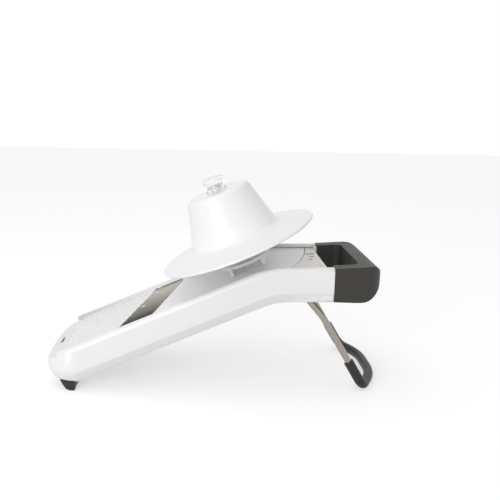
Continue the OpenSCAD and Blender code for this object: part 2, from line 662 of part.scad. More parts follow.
module plunger_knob() color([0.85, 0.9, 0.88, 0.5]) holder() difference() {
  translate([0, 0, hat_h + 0.6]) rotate_extrude() polygon([[0, 0], [button_d/2 - 2, 0],
    [button_d/2 - 2, 3], [button_d/2 - 3.6, 5], [button_d/2 - 3.6, 7],
    [button_d/2, 9.5], [button_d/2, button_h - 3], [button_d/2 - 2, button_h - 0.8],
    [button_d/2 - 6, button_h], [0, button_h]]);
  cylinder(d = rod_d, h = hat_h + 8);
}
module prong_plate() color("whitesmoke") holder() difference() {
  union() {
    translate([0, 0, rod_lo - 3]) cylinder(d = grip_plate_d, h = 3);
    // feet that stand on the runway and keep the prongs off it
    for (a = [45 : 90 : 359]) rotate(a) translate([grip_plate_d/2 - 3, 0,
      rod_lo - foot_post]) cylinder(d = 5, h = foot_post - 1);
  }
  translate([0, 0, rod_lo - 10]) cylinder(d = 4, h = 20);
  for (p = prong_pts()) translate([p[0], p[1], rod_lo - 10])
    cylinder(d = prong_d, h = 20);
}
function prong_pts() = [for (i = [0 : prong_n - 1])
  let (a = 360*i/prong_n + 20) [grip_plate_d*0.31*cos(a), grip_plate_d*0.31*sin(a)]];
module prongs() color("silver") holder() for (p = prong_pts())
  translate([p[0], p[1], rod_lo - prong_l]) {
    translate([0, 0, 3]) cylinder(d = prong_d, h = prong_l - 3);
    cylinder(d1 = 0.4, d2 = prong_d, h = 3);
  }
module plunger_nut() color("silver") holder() difference() {
  translate([0, 0, rod_lo - 3 - 3]) cylinder(d = 8, h = 3, $fn = 6);
  translate([0, 0, rod_lo - 10]) cylinder(d = 4, h = 20);
}
// Spring: one tube swept round the rod
spring_r = rod_d/2 + 4.6 + spring_wire/2;
spring_z0 = rod_lo + spring_wire/2 + 0.02;
spring_z1 = hat_h - hat_t - spring_wire/2 - 0.02;
spring_k = 18;
spring_s = 6;
function spring_ring(i) = let (a = 360*i/spring_k,
  z = spring_z0 + (spring_z1 - spring_z0)*i/(spring_k*spring_n))
  [for (j = [0 : spring_s - 1]) let (b = 360*j/spring_s)
    [(spring_r + spring_wire/2*cos(b))*cos(a),
     (spring_r + spring_wire/2*cos(b))*sin(a), z + spring_wire/2*sin(b)]];
module plunger_spring() color("silver") holder() {
  m = spring_k*spring_n;
  polyhedron(
    points = [for (i = [0 : m]) each spring_ring(i)],
    faces = [
      for (i = [0 : m - 1], j = [0 : spring_s - 1])
        let (a = i*spring_s + j, b = i*spring_s + (j + 1) % spring_s)
        [a, b, b + spring_s, a + spring_s],
      [for (j = [spring_s - 1 : -1 : 0]) j],
      [for (j = [0 : spring_s - 1]) m*spring_s + j]]);
}

module show(n) place() {
  if (n == "frame") frame();
  if (n == "deck_plate") deck_plate();
  if (n == "landing_plate") landing_plate();
  if (n == "handle_grip") handle_grip();
  if (n == "grip_screw_left") grip_screw(1);
  if (n == "grip_screw_right") grip_screw(-1);
  if (n == "deck_screw_left") deck_screw(1);
  if (n == "deck_screw_right") deck_screw(-1);
  if (n == "front_foot_left") front_foot(1);
  if (n == "front_foot_right") front_foot(-1);
  if (n == "runway") runway();
  if (n == "runway_pin") runway_pin();
  if (n == "blade") blade();
  if (n == "blade_carrier") blade_carrier();
  if (n == "rivet_left") rivet(2);
  if (n == "rivet_mid") rivet(1);
  if (n == "rivet_right") rivet(0);
  if (n == "knob") knob();
  if (n == "knob_cap") knob_cap();
  if (n == "cam_shaft") cam_shaft();
  if (n == "stand_wire") stand_wire();
  if (n == "stand_sleeve") stand_sleeve();
  if (n == "hat") hat_crown();
  if (n == "hat_brim") hat_brim();
  if (n == "plunger_knob") plunger_knob();
  if (n == "plunger_rod") plunger_rod();
  if (n == "prong_plate") prong_plate();
  if (n == "prongs") prongs();
  if (n == "plunger_nut") plunger_nut();
  if (n == "plunger_spring") plunger_spring();
}
for (n = NODES) show(n);
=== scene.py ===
"""Mandoline slicer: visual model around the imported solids, in metres."""
import math

import bpy
from mathutils import Matrix, Vector


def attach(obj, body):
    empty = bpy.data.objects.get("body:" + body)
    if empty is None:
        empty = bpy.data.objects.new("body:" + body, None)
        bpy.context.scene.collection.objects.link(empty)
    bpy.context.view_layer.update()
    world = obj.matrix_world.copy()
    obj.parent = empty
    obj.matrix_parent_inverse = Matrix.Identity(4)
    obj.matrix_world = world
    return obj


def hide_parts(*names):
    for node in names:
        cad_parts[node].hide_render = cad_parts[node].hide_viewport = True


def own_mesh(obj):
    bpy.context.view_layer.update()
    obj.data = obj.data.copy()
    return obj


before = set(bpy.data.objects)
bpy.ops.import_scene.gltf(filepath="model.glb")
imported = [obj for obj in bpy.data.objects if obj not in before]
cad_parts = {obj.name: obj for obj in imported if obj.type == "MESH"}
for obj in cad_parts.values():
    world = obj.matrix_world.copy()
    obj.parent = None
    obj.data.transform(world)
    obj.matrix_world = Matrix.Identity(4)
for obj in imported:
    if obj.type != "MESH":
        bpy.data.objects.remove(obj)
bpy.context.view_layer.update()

# ---------------------------------------------------------------- Camera
# A 46.8 mm lens, a little above the table and to the left of the body's
# middle, with a slight roll.
yaw, pitch, roll = (math.radians(angle) for angle in (4.0, 12.2, 1.3))
camera_at = (-0.01168, -0.7051, 0.2921)
ahead = Vector((math.sin(yaw) * math.cos(pitch),
                math.cos(yaw) * math.cos(pitch), -math.sin(pitch)))
level = Vector((math.cos(yaw), -math.sin(yaw), 0))
over = level.cross(ahead)
to_right = level * math.cos(roll) + over * math.sin(roll)
to_top = over * math.cos(roll) - level * math.sin(roll)
bpy.ops.object.camera_add()
camera = bpy.context.object
camera.matrix_world = (Matrix.Translation(camera_at)
                       @ Matrix((to_right, to_top, -ahead)).transposed().to_4x4())
camera.data.lens = 46.8
camera.data.sensor_width = 36
bpy.context.scene.camera = camera
bpy.context.scene.view_settings.view_transform = "Standard"

# ---------------------------------------------------------------- Moulded body
# One white ABS moulding: two rails with turned-in lower edges, the nose, the
# bed under the blade and the bosses. Every edge has the small radius of a mould.
MM = 0.001
mid = 179.375                    # nose tip to the middle of the length
slope_angle = math.radians(22.8)
rail_line_z = 36.2616            # height of the rails' top line at the nose tip
# Pieces are shaped in millimetres, either level from the nose tip or along the
# slope from the rails' top line, and these two put them in the row frame.
body_place = Matrix.Translation((-mid * MM, 0, 0))
slope_place = (Matrix.Translation((-mid * MM, 0, rail_line_z * MM))
               @ Matrix.Rotation(-slope_angle, 4, "Y"))


class Value:
    """An output socket, so that shader maths is written as plain Python."""

    def __init__(self, graph, socket):
        self.graph, self.socket = graph, socket

    def maths(self, operation, *values):
        return self.graph.node("ShaderNodeMath", {"operation": operation},
                               dict(enumerate(values)))

    def __add__(self, other):
        return self.maths("ADD", self, other)

    def __sub__(self, other):
        return self.maths("SUBTRACT", self, other)

    def __rsub__(self, other):
        return self.maths("SUBTRACT", other, self)

    def __mul__(self, other):
        return self.maths("MULTIPLY", self, other)

    __radd__, __rmul__ = __add__, __mul__

    def limit(self):
        return self.maths("MINIMUM", self.maths("MAXIMUM", self, 0.0), 1.0)


class Graph:
    """A node tree whose nodes all come from one method."""

    def __init__(self, tree):
        self.tree = tree

    def join(self, socket, value):
        if isinstance(value, Value):
            self.tree.links.new(value.socket, socket)
        else:
            socket.default_value = value

    def node(self, kind, settings=None, inputs=None, out=0):
        new = self.tree.nodes.new(kind)
        for key, value in (settings or {}).items():
            setattr(new, key, value)
        for key, value in (inputs or {}).items():
            self.join(new.inputs[key], value)
        return Value(self, new.outputs[out]) if new.outputs else None


class Finish(Graph):
    """A procedural material around one Principled shader."""

    def __init__(self, name, colour, roughness, **plain):
        self.material = bpy.data.materials.new(name)
        self.material.use_nodes = True
        super().__init__(self.material.node_tree)
        self.shader = self.tree.nodes["Principled BSDF"]
        self.set("Base Color", (*colour, 1.0))
        self.set("Roughness", roughness)
        for key, value in plain.items():
            self.set(key.replace("_", " "), value)
        self.at = self.node("ShaderNodeTexCoord", out="Object")

    def set(self, name, value):
        self.join(self.shader.inputs[name], value)

    def noise(self, scale, detail=2.0, stretch=None, turn=(0, 0, 0)):
        where = self.at
        if stretch:
            where = self.node("ShaderNodeMapping", {"vector_type": "TEXTURE"},
                              {"Vector": self.at, "Rotation": turn, "Scale": stretch})
        return self.node("ShaderNodeTexNoise", None,
                         {"Vector": where, "Scale": scale, "Detail": detail},
                         out="Fac")

    def blend(self, amount, first, second):
        return self.node("ShaderNodeMix", {"data_type": "RGBA"},
                         {0: amount, 6: (*first, 1), 7: (*second, 1)}, out=2)

    def bump(self, height, distance):
        self.set("Normal", self.node("ShaderNodeBump", None,
                                     {"Height": height, "Distance": distance,
                                      "Strength": 1.0}, out="Normal"))
        return self.material


def moulded(name, light, dark, roughness):
    """White plastic: faint cloudiness from the flow in the mould, a satin grain
    that varies the gloss, and a shallow waviness over the large faces."""
    relief = 0.000012
    finish = Finish(name, light, roughness)
    cloud = finish.noise(28, 3)
    finish.set("Base Color", finish.blend(cloud, dark, light))
    fine = finish.noise(1900, 2)
    finish.set("Roughness", (finish.noise(65, 4) - 0.5) * 0.12 + roughness)
    waves = finish.noise(16, 1)
    return finish.bump(fine * 0.35 + waves * 6.0, relief)


white_plastic = moulded("white_plastic_moulded", (0.905, 0.905, 0.9),
                        (0.88, 0.882, 0.88), 0.3)


def nothing():
    """Leaves edit mode and selects nothing."""
    if bpy.context.object and bpy.context.object.mode != "OBJECT":
        bpy.ops.object.mode_set(mode="OBJECT")
    bpy.ops.object.select_all(action="DESELECT")


def only(piece):
    """Selects one object and makes it active, in object mode."""
    nothing()
    piece.select_set(True)
    bpy.context.view_layer.objects.active = piece


def edit(piece):
    """Opens a piece in edit mode with all of it selected."""
    only(piece)
    bpy.ops.object.mode_set(mode="EDIT")
    bpy.ops.mesh.select_all(action="SELECT")


def done(piece):
    """Ends editing with joined points and faces that point outwards."""
    bpy.ops.mesh.select_all(action="SELECT")
    bpy.ops.mesh.remove_doubles(threshold=2e-6)
    bpy.ops.mesh.normals_make_consistent(inside=False)
    bpy.ops.object.mode_set(mode="OBJECT")
    return piece


def modify(piece, kind, **settings):
    """Adds a modifier and applies it."""
    only(piece)
    step = piece.modifiers.new(kind.title(), kind)
    for key, value in settings.items():
        setattr(step, key, value)
    bpy.ops.object.modifier_apply(modifier=step.name)
    return piece


def smooth_by(piece, degrees):
    """Shades a piece smooth where its faces meet at less than an angle."""
    only(piece)
    bpy.ops.object.shade_smooth_by_angle(angle=math.radians(degrees))
    return piece


def soften(piece, radius, segments=3, above=35, smooth=32):
    """Rounds the edges sharper than an angle, and shades the rest smooth."""
    modify(piece, "BEVEL", width=radius * MM, segments=segments,
           limit_method="ANGLE", angle_limit=math.radians(above),
           use_clamp_overlap=True, miter_outer="MITER_ARC")
    return modify(smooth_by(piece, smooth), "WEIGHTED_NORMAL", keep_sharp=True)


def cut(piece, tool, operation="DIFFERENCE"):
    """Cuts, joins or crosses a piece with another, which is used up."""
    modify(piece, "BOOLEAN", object=tool, operation=operation, solver="EXACT")
    bpy.data.objects.remove(tool)
    return piece


def fit(piece, name, material, body, slot, *nodes):
    """Names a finished piece and ties it to its body and CAD nodes. The slot is not used."""
    piece.name = piece.data.name = name
    piece.data.materials.clear()
    piece.data.materials.append(material)
    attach(piece, body)
    if nodes:
        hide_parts(*nodes)
    return piece


def shift(x, y, z):
    """A move in millimetres."""
    return Matrix.Translation(Vector((x, y, z)) * MM)


def settle(piece, matrix):
    """Moves a piece to its place, and leaves the place in its mesh."""
    only(piece)
    piece.matrix_world = matrix @ piece.matrix_world
    bpy.ops.object.transform_apply(location=True, rotation=True, scale=True)
    return piece


def from_solid(node, join=0.02):
    """A copy of a CAD node's mesh with its loose triangles joined, and the
    triangles of each flat face made one face."""
    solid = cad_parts[node]
    piece = bpy.data.objects.new(node + "_copy", solid.data.copy())
    bpy.context.collection.objects.link(piece)
    edit(piece)
    bpy.ops.mesh.remove_doubles(threshold=join * MM)
    bpy.ops.mesh.dissolve_degenerate(threshold=join * MM)
    bpy.ops.mesh.select_all(action="SELECT")
    bpy.ops.mesh.dissolve_limited(angle_limit=math.radians(0.4))
    bpy.ops.object.mode_set(mode="OBJECT")
    return piece


body_shell = soften(from_solid("frame", 0.08), 0.5, 2)
fit(body_shell, "body_shell", white_plastic, "body", "white_plastic", "frame")

# ---------------------------------------------------------------- Landing
# The fixed plate between nose and blade, light grey ABS, with nine shallow grooves
# that keep wet slices from sticking, low side lips and a slot to hang it by.
landing_grey = moulded("landing_plastic", (0.87, 0.87, 0.865), (0.83, 0.83, 0.825), 0.36)


def trace(points, closed=False):
    """A line through the points, in millimetres, drawn on by extruding."""
    nothing()
    bpy.ops.mesh.primitive_plane_add(size=MM, location=(0, 0, 0))
    edit(bpy.context.object)
    bpy.ops.mesh.merge(type="CENTER")
    bpy.ops.transform.translate(value=Vector(points[0]) * MM)
    ends = list(points) + ([points[0]] if closed else [])
    for start, end in zip(ends, ends[1:]):
        bpy.ops.mesh.extrude_region_move(
            TRANSFORM_OT_translate={"value": (Vector(end) - Vector(start)) * MM})
    bpy.ops.mesh.select_all(action="SELECT")
    if closed:
        bpy.ops.mesh.remove_doubles(threshold=1e-6)
    return bpy.context.object


def slab(outline, depth):
    """A solid from a closed outline, pushed out by a vector."""
    piece = trace(outline, closed=True)
    bpy.ops.mesh.edge_face_add()
    bpy.ops.mesh.extrude_region_move(TRANSFORM_OT_translate={"value": Vector(depth) * MM})
    return done(piece)


def rounded(points, radii, turn=9):
    """The line through the points, with an arc of its radius at each corner."""
    points = [Vector(p) for p in points]
    line = [points[0]]
    for before, corner, after, radius in zip(points, points[1:], points[2:], radii):
        back, on = (before - corner).normalized(), (after - corner).normalized()
        bend = math.pi - back.angle(on)
        if bend < 0.01:
            line.append(corner)
            continue
        middle = corner + (back + on).normalized() * radius / math.cos(bend / 2)
        arm = corner + back * radius * math.tan(bend / 2) - middle
        steps = max(3, round(math.degrees(bend) / turn))
        line += [middle + Matrix.Rotation(bend * i / steps, 3, arm.cross(-back)) @ arm
                 for i in range(steps + 1)]
    return line + [points[-1]]


def box_line(x0, x1, y0, y1, z, corner):
    """A rectangle with rounded corners, flat at height z."""
    return rounded([((x0 + x1) / 2, y0, z), (x1, y0, z), (x1, y1, z), (x0, y1, z),
                    (x0, y0, z), ((x0 + x1) / 2, y0, z)], [corner] * 4, 15)[:-1]


def lathe(profile, steps=64):
    """A closed profile of radius and height, in millimetres, turned about Z."""
    piece = trace([(r, 0, z) for r, z in profile], closed=True)
    bpy.ops.mesh.spin(steps=steps, angle=2 * math.pi, center=(0, 0, 0), axis=(0, 0, 1))
    return done(piece)


landing_top, landing_thick = -5.0, 3     # the top is below the rails' top line
landing_start, landing_end = -12, 94.7   # along the slope, the end on the middle line
landing_half = 62.96
skew = math.tan(math.radians(18.5))      # the blade's slant across the body


def landing_line(half, z):
    """The plate's outline, with its end along the slanting blade."""
    return [(landing_start, -half, z), (landing_end - half * skew, -half, z),
            (landing_end + half * skew, half, z), (landing_start, half, z)]


landing = slab(landing_line(landing_half, landing_top - landing_thick), (0, 0, landing_thick))
groove_count, groove_pitch, groove_radius, groove_axis = 9, 12, 2.9, 2.1
groove_from, groove_to = 16, 130
grooves = []
for number in range(groove_count):
    groove = lathe([(0, groove_from), (2.1, groove_from + 0.3), (2.75, groove_from + 1),
                    (groove_radius, groove_from + 2), (groove_radius, groove_to),
                    (0, groove_to)], 96)
    groove_y = (number - (groove_count - 1) / 2) * groove_pitch
    grooves.append(settle(groove, shift(0, groove_y, landing_top + groove_axis)
                          @ Matrix.Rotation(math.pi / 2, 4, "Y")))
nothing()
for groove in grooves:
    groove.select_set(True)
bpy.context.view_layer.objects.active = grooves[0]
bpy.ops.object.join()
settle(cut(landing, grooves[0]), slope_place)

nose_centre, nose_radius = 400, 396.9
corner_x, corner_y, corner_radius = 34, 32, 30.9
landing_back = 140
nose_line = [(nose_centre - math.sqrt(nose_radius ** 2 - y * y), y, 0)
             for y in range(-28, 29, 4)]
corner_line = [(corner_x - corner_radius * math.cos(angle),
                corner_y + corner_radius * math.sin(angle), 0)
               for angle in (math.radians(7.5 * step) for step in range(13))]
nose_plan = slab([(landing_back, -landing_half, 0)]
                 + [(x, -y, 0) for x, y, z in reversed(corner_line)] + nose_line
                 + corner_line + [(landing_back, landing_half, 0)], (0, 0, 100))
lip_inside, lip_sunk, lip_tall = 59.8, 1, 1.85
for low_y, high_y in ((-landing_half, -lip_inside), (lip_inside, landing_half)):
    lip = slab([(landing_start, low_y, landing_top - lip_sunk),
                (landing_back, low_y, landing_top - lip_sunk),
                (landing_back, high_y, landing_top - lip_sunk),
                (landing_start, high_y, landing_top - lip_sunk)], (0, 0, lip_tall))
    sides = slab(landing_line(64, -9), (0, 0, 8))
    settle(cut(lip, sides, "INTERSECT"), slope_place)
    cut(landing, lip, "UNION")
cut(landing, settle(nose_plan, body_place), "INTERSECT")
hanging_slot = slab(box_line(7.5, 10.9, -10, 10, 0, 1.6), (0, 0, 90))
cut(landing, settle(hanging_slot, body_place))
soften(landing, 0.2, 2, 50, 40)
fit(landing, "landing", landing_grey, "body", "white_plastic", "landing_plate")

# ---------------------------------------------------------------- Runway and deck
# The tilting plate before the blade and the fixed plate at the handle end. The
# tilting one is a lighter copy of the white plastic, painted light against the
# holder's shadow; the fixed one a darker, warmer copy, painted shade. The fixed
# one carries a sunk panel and three low ribs.
# Painted light: the runway's white is raised above the body's to make up for the holder's
# shadow.
runway_painted_light = moulded("runway_plastic_painted_light", (0.945, 0.945, 0.94), (0.92, 0.92, 0.915), 0.3)
# Painted shade: the deck's colour is a darker, warmer white, for the shade that falls on the
# handle end.
deck_painted_shade = moulded("deck_plastic_painted_shade", (0.86, 0.825, 0.77), (0.83, 0.795, 0.74), 0.3)
runway = soften(from_solid("runway", 0.08), 0.3, 2)
fit(runway, "runway_plate", runway_painted_light, "runway", "white_plastic", "runway")

deck_top, panel_deep = 129.5, 0.45
deck = from_solid("deck_plate", 0.08)
panel = slab(box_line(270.5, 284.5, 21, 49, deck_top - panel_deep, 2.2), (0, 0, 3))
cut(deck, settle(panel, body_place))
soften(deck, 0.3, 2)
fit(deck, "deck_end_plate", deck_painted_shade, "body", "white_plastic", "deck_plate")

rib_grey = moulded("rib_plastic", (0.36, 0.33, 0.31), (0.32, 0.295, 0.28), 0.42)
rib_half, rib_sunk, rib_tall = 2.2, 0.6, 0.8
rib_places = ((25.5, 284.3, 9), (12.5, 285.8, 5.4), (-1.5, 283, 4.2))
for number, (rib_y, rib_x, rib_long) in enumerate(rib_places):
    rib = slab(box_line(rib_x, rib_x + rib_long, rib_y - rib_half, rib_y + rib_half,
                        deck_top - rib_sunk, 0.9), (0, 0, rib_tall))
    rib = soften(settle(rib, body_place), 0.15, 2)
    fit(rib, "deck_rib_%d" % number, rib_grey, "body", "white_plastic")

# ---------------------------------------------------------------- Blade unit
# Hardened steel, ground along its slanting edge and brushed along its length,
# riveted to a moulded carrier that slides out sideways. Its colour carries a
# painted reflection: nearly black at the near end and light at the far end.
blade_steel = Finish("blade_steel_brushed_painted_reflection", (0.42, 0.39, 0.35), 0.3, Metallic=1.0,
                     Specular_Tint=(0.45, 0.44, 0.42, 1))
plan_skew = math.radians(17.1)           # the blade's slant as seen from above
lines = blade_steel.noise(900, 3, (1, 60, 1), (0, 0, -plan_skew))
broad = blade_steel.noise(9, 2)
# Painted reflection: the base colour runs from nearly black at the blade's near end to light
# steel at its far end, with a little random mottle.
across = blade_steel.node("ShaderNodeSeparateXYZ", None, {"Vector": blade_steel.at}, out="Y")
painted_reflection_and_mottle = (across * 11.0 + 0.54 + (broad - 0.5) * 0.35).limit()
blade_steel.set("Roughness", lines * 0.2 + 0.24)
blade_steel.set("Base Color", blade_steel.blend(
    (lines - 0.5) * 0.3 + painted_reflection_and_mottle, (0.012, 0.011, 0.01), (0.82, 0.79, 0.74)))
blade_steel.bump(lines, 0.000004)
blade = soften(from_solid("blade"), 0.12, 1)
fit(blade, "blade_ground", blade_steel.material, "blade_unit", "blade_steel", "blade")
carrier = soften(from_solid("blade_carrier"), 0.3, 2)
fit(carrier, "blade_carrier_moulded", white_plastic, "blade_unit", "white_plastic",
    "blade_carrier")

bright_steel = Finish("bright_steel_plated", (0.68, 0.67, 0.65), 0.22, Metallic=1.0)
bright_steel.set("Roughness", bright_steel.noise(300, 3) * 0.16 + 0.14)
bright_steel.bump(bright_steel.noise(1500, 2), 0.000003)
rivet_line, blade_top, shank_end = 102.3, -5.1, -9.2
for name, rivet_y in (("left", 45), ("mid", 6), ("right", -45)):
    rivet = lathe([(0, shank_end), (1.2, shank_end), (1.2, blade_top), (2.5, blade_top),
                   (2.45, blade_top + 0.15), (2.1, blade_top + 0.25),
                   (1.2, blade_top + 0.32), (0, blade_top + 0.34)], 40)
    settle(rivet, slope_place @ shift(rivet_line + rivet_y * skew, rivet_y, 0))
    soften(rivet, 0.04, 1)
    fit(rivet, "rivet_domed_" + name, bright_steel.material, "blade_unit",
        "bright_steel", "rivet_" + name)

# ---------------------------------------------------------------- Hidden steel
# The runway's pivot pin, the cam shaft, the prongs and their nut are turned
# steel, and keep the shapes of their solids.
for name in ("cam_shaft", "runway_pin", "prongs", "plunger_nut"):
    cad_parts[name].material_slots[0].material = bright_steel.material

# ---------------------------------------------------------------- Screws
# Plated pan-head screws with a cross recess: two hold the deck plate down, and
# two come up from below into the tongues inside the grip.


def screw(name, spot, shank, turned):
    """A pan-head screw with its head's top at the spot."""
    head, shank_radius, under_head = 3, 1.5, -1.3
    piece = lathe([(0, 0), (1.5, -0.02), (2.4, -0.2), (2.85, -0.55), (head, -1.1),
                   (head, under_head), (shank_radius, under_head), (shank_radius, -shank),
                   (0, -shank)], 40)
    recess, slot_long, slot_wide = -0.8, 1.7, 0.4
    for x, y in ((slot_long, slot_wide), (slot_wide, slot_long)):
        cut(piece, slab([(-x, -y, recess), (x, -y, recess), (x, y, recess), (-x, y, recess)],
                        (0, 0, 2)))
    soften(piece, 0.1, 1)
    turn = Matrix.Rotation(math.pi if turned else 0, 4, "X")
    settle(piece, body_place @ shift(*spot) @ turn)
    fit(piece, name + "_cross_head", bright_steel.material, "body", "bright_steel", name)


grip_screw_x, grip_screw_y = 314.5, 58.5
for name, side in (("left", 1), ("right", -1)):
    screw("deck_screw_" + name, (291.5, side * 30, deck_top - 0.2), 6.3, False)
    screw("grip_screw_" + name, (grip_screw_x, side * grip_screw_y, 100.7), 15, True)

# ---------------------------------------------------------------- Grip
# A black soft-touch moulding pushed over the two tongues of the body, with a hand
# hole behind the deck and every edge well rounded for the hand.
grip_black = Finish("grip_soft_touch", (0.036, 0.033, 0.029), 0.5, Specular_IOR_Level=0.4)
grain = grip_black.noise(2600, 2)
rubbed = grip_black.noise(34, 4)
grip_black.set("Roughness", rubbed * 0.22 + 0.4)
grip_black.set("Base Color", grip_black.blend(rubbed, (0.031, 0.0285, 0.025),
                                              (0.040, 0.0375, 0.033)))
grip_black.bump(grain * 0.7 + grip_black.noise(900, 1), 0.00003)
grip_front, grip_end = 300.5, 353.0
grip_half, grip_low, grip_front_low = 66.4, 98.2, 98.9
profile = rounded([(grip_front, -grip_half, 118), (grip_front, -grip_half, 134.5),
                   (334, -grip_half, 136.4), (grip_end, -grip_half, 137),
                   (grip_end, -grip_half, 113), (338, -grip_half, grip_low),
                   (322, -grip_half, grip_low), (grip_front, -grip_half, grip_front_low),
                   (grip_front, -grip_half, 118)],
                  [0.6, 60, 14, 22, 24, 60, 0.6], 7)
grip = slab(profile[:-1], (0, 2 * grip_half, 0))
plan_front, plan_half, plan_z = grip_front - 1, 67, 90
plan = rounded([(plan_front, 0, plan_z), (plan_front, -plan_half, plan_z),
                (grip_end, -plan_half, plan_z), (grip_end, plan_half, plan_z),
                (plan_front, plan_half, plan_z), (plan_front, 0, plan_z)],
               [0.5, 24, 24, 0.5], 6)
cut(grip, slab(plan[:-1], (0, 0, 60)), "INTERSECT")
hand_hole = box_line(grip_front - 20, grip_end - 24, -51, 51, 80, 8)
cut(grip, slab(hand_hole, (0, 0, 80)))
soften(grip, 3.2, 5, 50, 40)
settle(grip, body_place)
recess_radius, recess_top = 3.2, 102.3
for side in (1, -1):
    recess = lathe([(0, 80), (recess_radius, 80), (recess_radius, recess_top),
                    (0, recess_top)], 32)
    cut(grip, settle(recess, body_place @ shift(grip_screw_x, side * grip_screw_y, 0)))
fit(grip, "grip_rounded", grip_black.material, "body", "black_grip", "handle_grip")

# ---------------------------------------------------------------- Front feet
# Two black rubber feet pressed on under the nose corners, rounded where they
# meet the table.
rubber_black = Finish("rubber_black", (0.016, 0.016, 0.016), 0.34, Specular_IOR_Level=0.4)
bloom = rubber_black.noise(120, 4)
rubber_black.set("Base Color", rubber_black.blend(bloom, (0.013, 0.013, 0.013),
                                                  (0.022, 0.022, 0.021)))
rubber_black.set("Roughness", bloom * 0.25 + 0.3)
rubber_black.bump(rubber_black.noise(1800, 2), 0.00001)
for side in ("left", "right"):
    foot = soften(from_solid("front_foot_" + side, 0.05), 0.9, 4, 25, 40)
    fit(foot, "foot_rubber_" + side, rubber_black.material, "body", "black_rubber",
        "front_foot_" + side)

# ---------------------------------------------------------------- Knob
# A black fluted knob on the far side that turns the cam shaft, with a bright cap
# whose bar shows the setting.
shaft_along, shaft_depth = 192, -20.953
knob_place = (slope_place @ shift(shaft_along, 0, shaft_depth)
              @ Matrix.Rotation(-math.pi / 2, 4, "X"))
knob_low, knob_high = 66.6, 80.6
knob_radius, bore, flutes = 17, 3.05, 12
knob = lathe([(bore, knob_low), (knob_radius, knob_low), (knob_radius, knob_high - 1.8),
              (16.2, knob_high - 0.5), (15, knob_high), (9.4, knob_high),
              (8.6, knob_high - 0.4), (8.55, knob_high - 2), (bore, knob_high - 2)], 72)
for flute in range(flutes):
    turn = Matrix.Rotation(math.radians(flute * 360 / flutes), 4, "Z")
    gouge = lathe([(0, knob_low + 2.4), (2, knob_low + 2.5), (2.5, knob_low + 3),
                   (2.5, knob_high + 3), (0, knob_high + 3)], 24)
    cut(knob, settle(gouge, turn @ shift(18.4, 0, 0)))
soften(knob, 0.3, 2, 40, 35)
settle(knob, knob_place)
fit(knob, "knob_fluted", grip_black.material, "knob", "black_grip", "knob")
cap = lathe([(0, knob_high - 2), (8.4, knob_high - 2), (8.4, knob_high - 0.3),
             (8.0, knob_high + 0.1), (0, knob_high + 0.2)], 56)
bar_half, bar_long, bar_low = 0.8, 7.5, knob_high - 0.2
bar = slab([(-bar_half, -bar_long, bar_low), (bar_half, -bar_long, bar_low),
            (bar_half, 0, bar_low), (-bar_half, 0, bar_low)], (0, 0, 0.8))
cut(cap, bar, "UNION")
soften(cap, 0.12, 2)
settle(cap, knob_place)
fit(cap, "knob_cap_bright", bright_steel.material, "knob", "bright_steel", "knob_cap")

# ---------------------------------------------------------------- Stand
# One bent steel wire with a satin nickel finish that folds up under the deck,
# and a black rubber sleeve over the bow that stands on the table.
stand_steel = Finish("stand_satin_nickel", (0.56, 0.52, 0.45), 0.36, Metallic=1.0)
drawn = stand_steel.noise(500, 3, (1, 1, 14))
stand_steel.set("Base Color", stand_steel.blend(drawn, (0.31, 0.285, 0.25),
                                                (0.41, 0.38, 0.335)))
stand_steel.set("Roughness", drawn * 0.14 + 0.24)
stand_steel.bump(drawn, 0.000003)
pivot_x, pivot_z = 267.5, 108.0
knee_x, knee_down, foot_back, bow_out = 24.2, 28.1, 69.0, 17.0
hub_y, foot_y, boss_y = 54, 64, 62.8
wire_radius, sleeve_radius, sleeve_long = 3.5, 5.25, 31


def leg(t, side):
    """A point on a leg, from its knee (0) to its foot (1)."""
    spread = 0.25 + 0.75 * t
    return (pivot_x + knee_x + (foot_back - knee_x) * t,
            side * (hub_y + (foot_y - hub_y) * spread),
            pivot_z - knee_down - (pivot_z - knee_down - sleeve_radius) * t)


def pipe(points, radius, sides=10):
    """A round bar along a line."""
    piece = trace(points)
    bpy.ops.object.mode_set(mode="OBJECT")
    bpy.ops.object.convert(target="CURVE")
    piece = bpy.context.object
    piece.data.bevel_depth = radius * MM
    piece.data.bevel_resolution = sides
    piece.data.use_fill_caps = True
    bpy.ops.object.convert(target="MESH")
    edit(bpy.context.object)
    return done(bpy.context.object)


bow_ends = [(pivot_x + foot_back + bow_out, side * foot_y * 0.46, sleeve_radius)
            for side in (1, -1)]
wire_line = rounded([(pivot_x, boss_y, pivot_z), (pivot_x, hub_y, pivot_z), leg(0, 1),
                     leg(1, 1), *bow_ends, leg(1, -1), leg(0, -1),
                     (pivot_x, -hub_y, pivot_z), (pivot_x, -boss_y, pivot_z)],
                    [5, 40, 10, 78, 78, 10, 40, 5], 6)
wire = soften(settle(pipe(wire_line, wire_radius), body_place), 0.5, 2, 60, 50)
fit(wire, "stand_bent_wire", stand_steel.material, "stand", "stand_steel", "stand_wire")
leg_long = (Vector(leg(1, 1)) - Vector(leg(0, 1))).length
sleeve_top = 1 - sleeve_long / leg_long
sleeve_line = rounded([leg(sleeve_top, 1), leg(1, 1), *bow_ends, leg(1, -1),
                       leg(sleeve_top, -1)], [10, 78, 78, 10], 6)
sleeve = soften(settle(pipe(sleeve_line, sleeve_radius, 12), body_place), 0.8, 3, 60, 50)
fit(sleeve, "stand_rubber_sleeve", rubber_black.material, "stand", "black_rubber",
    "stand_sleeve")

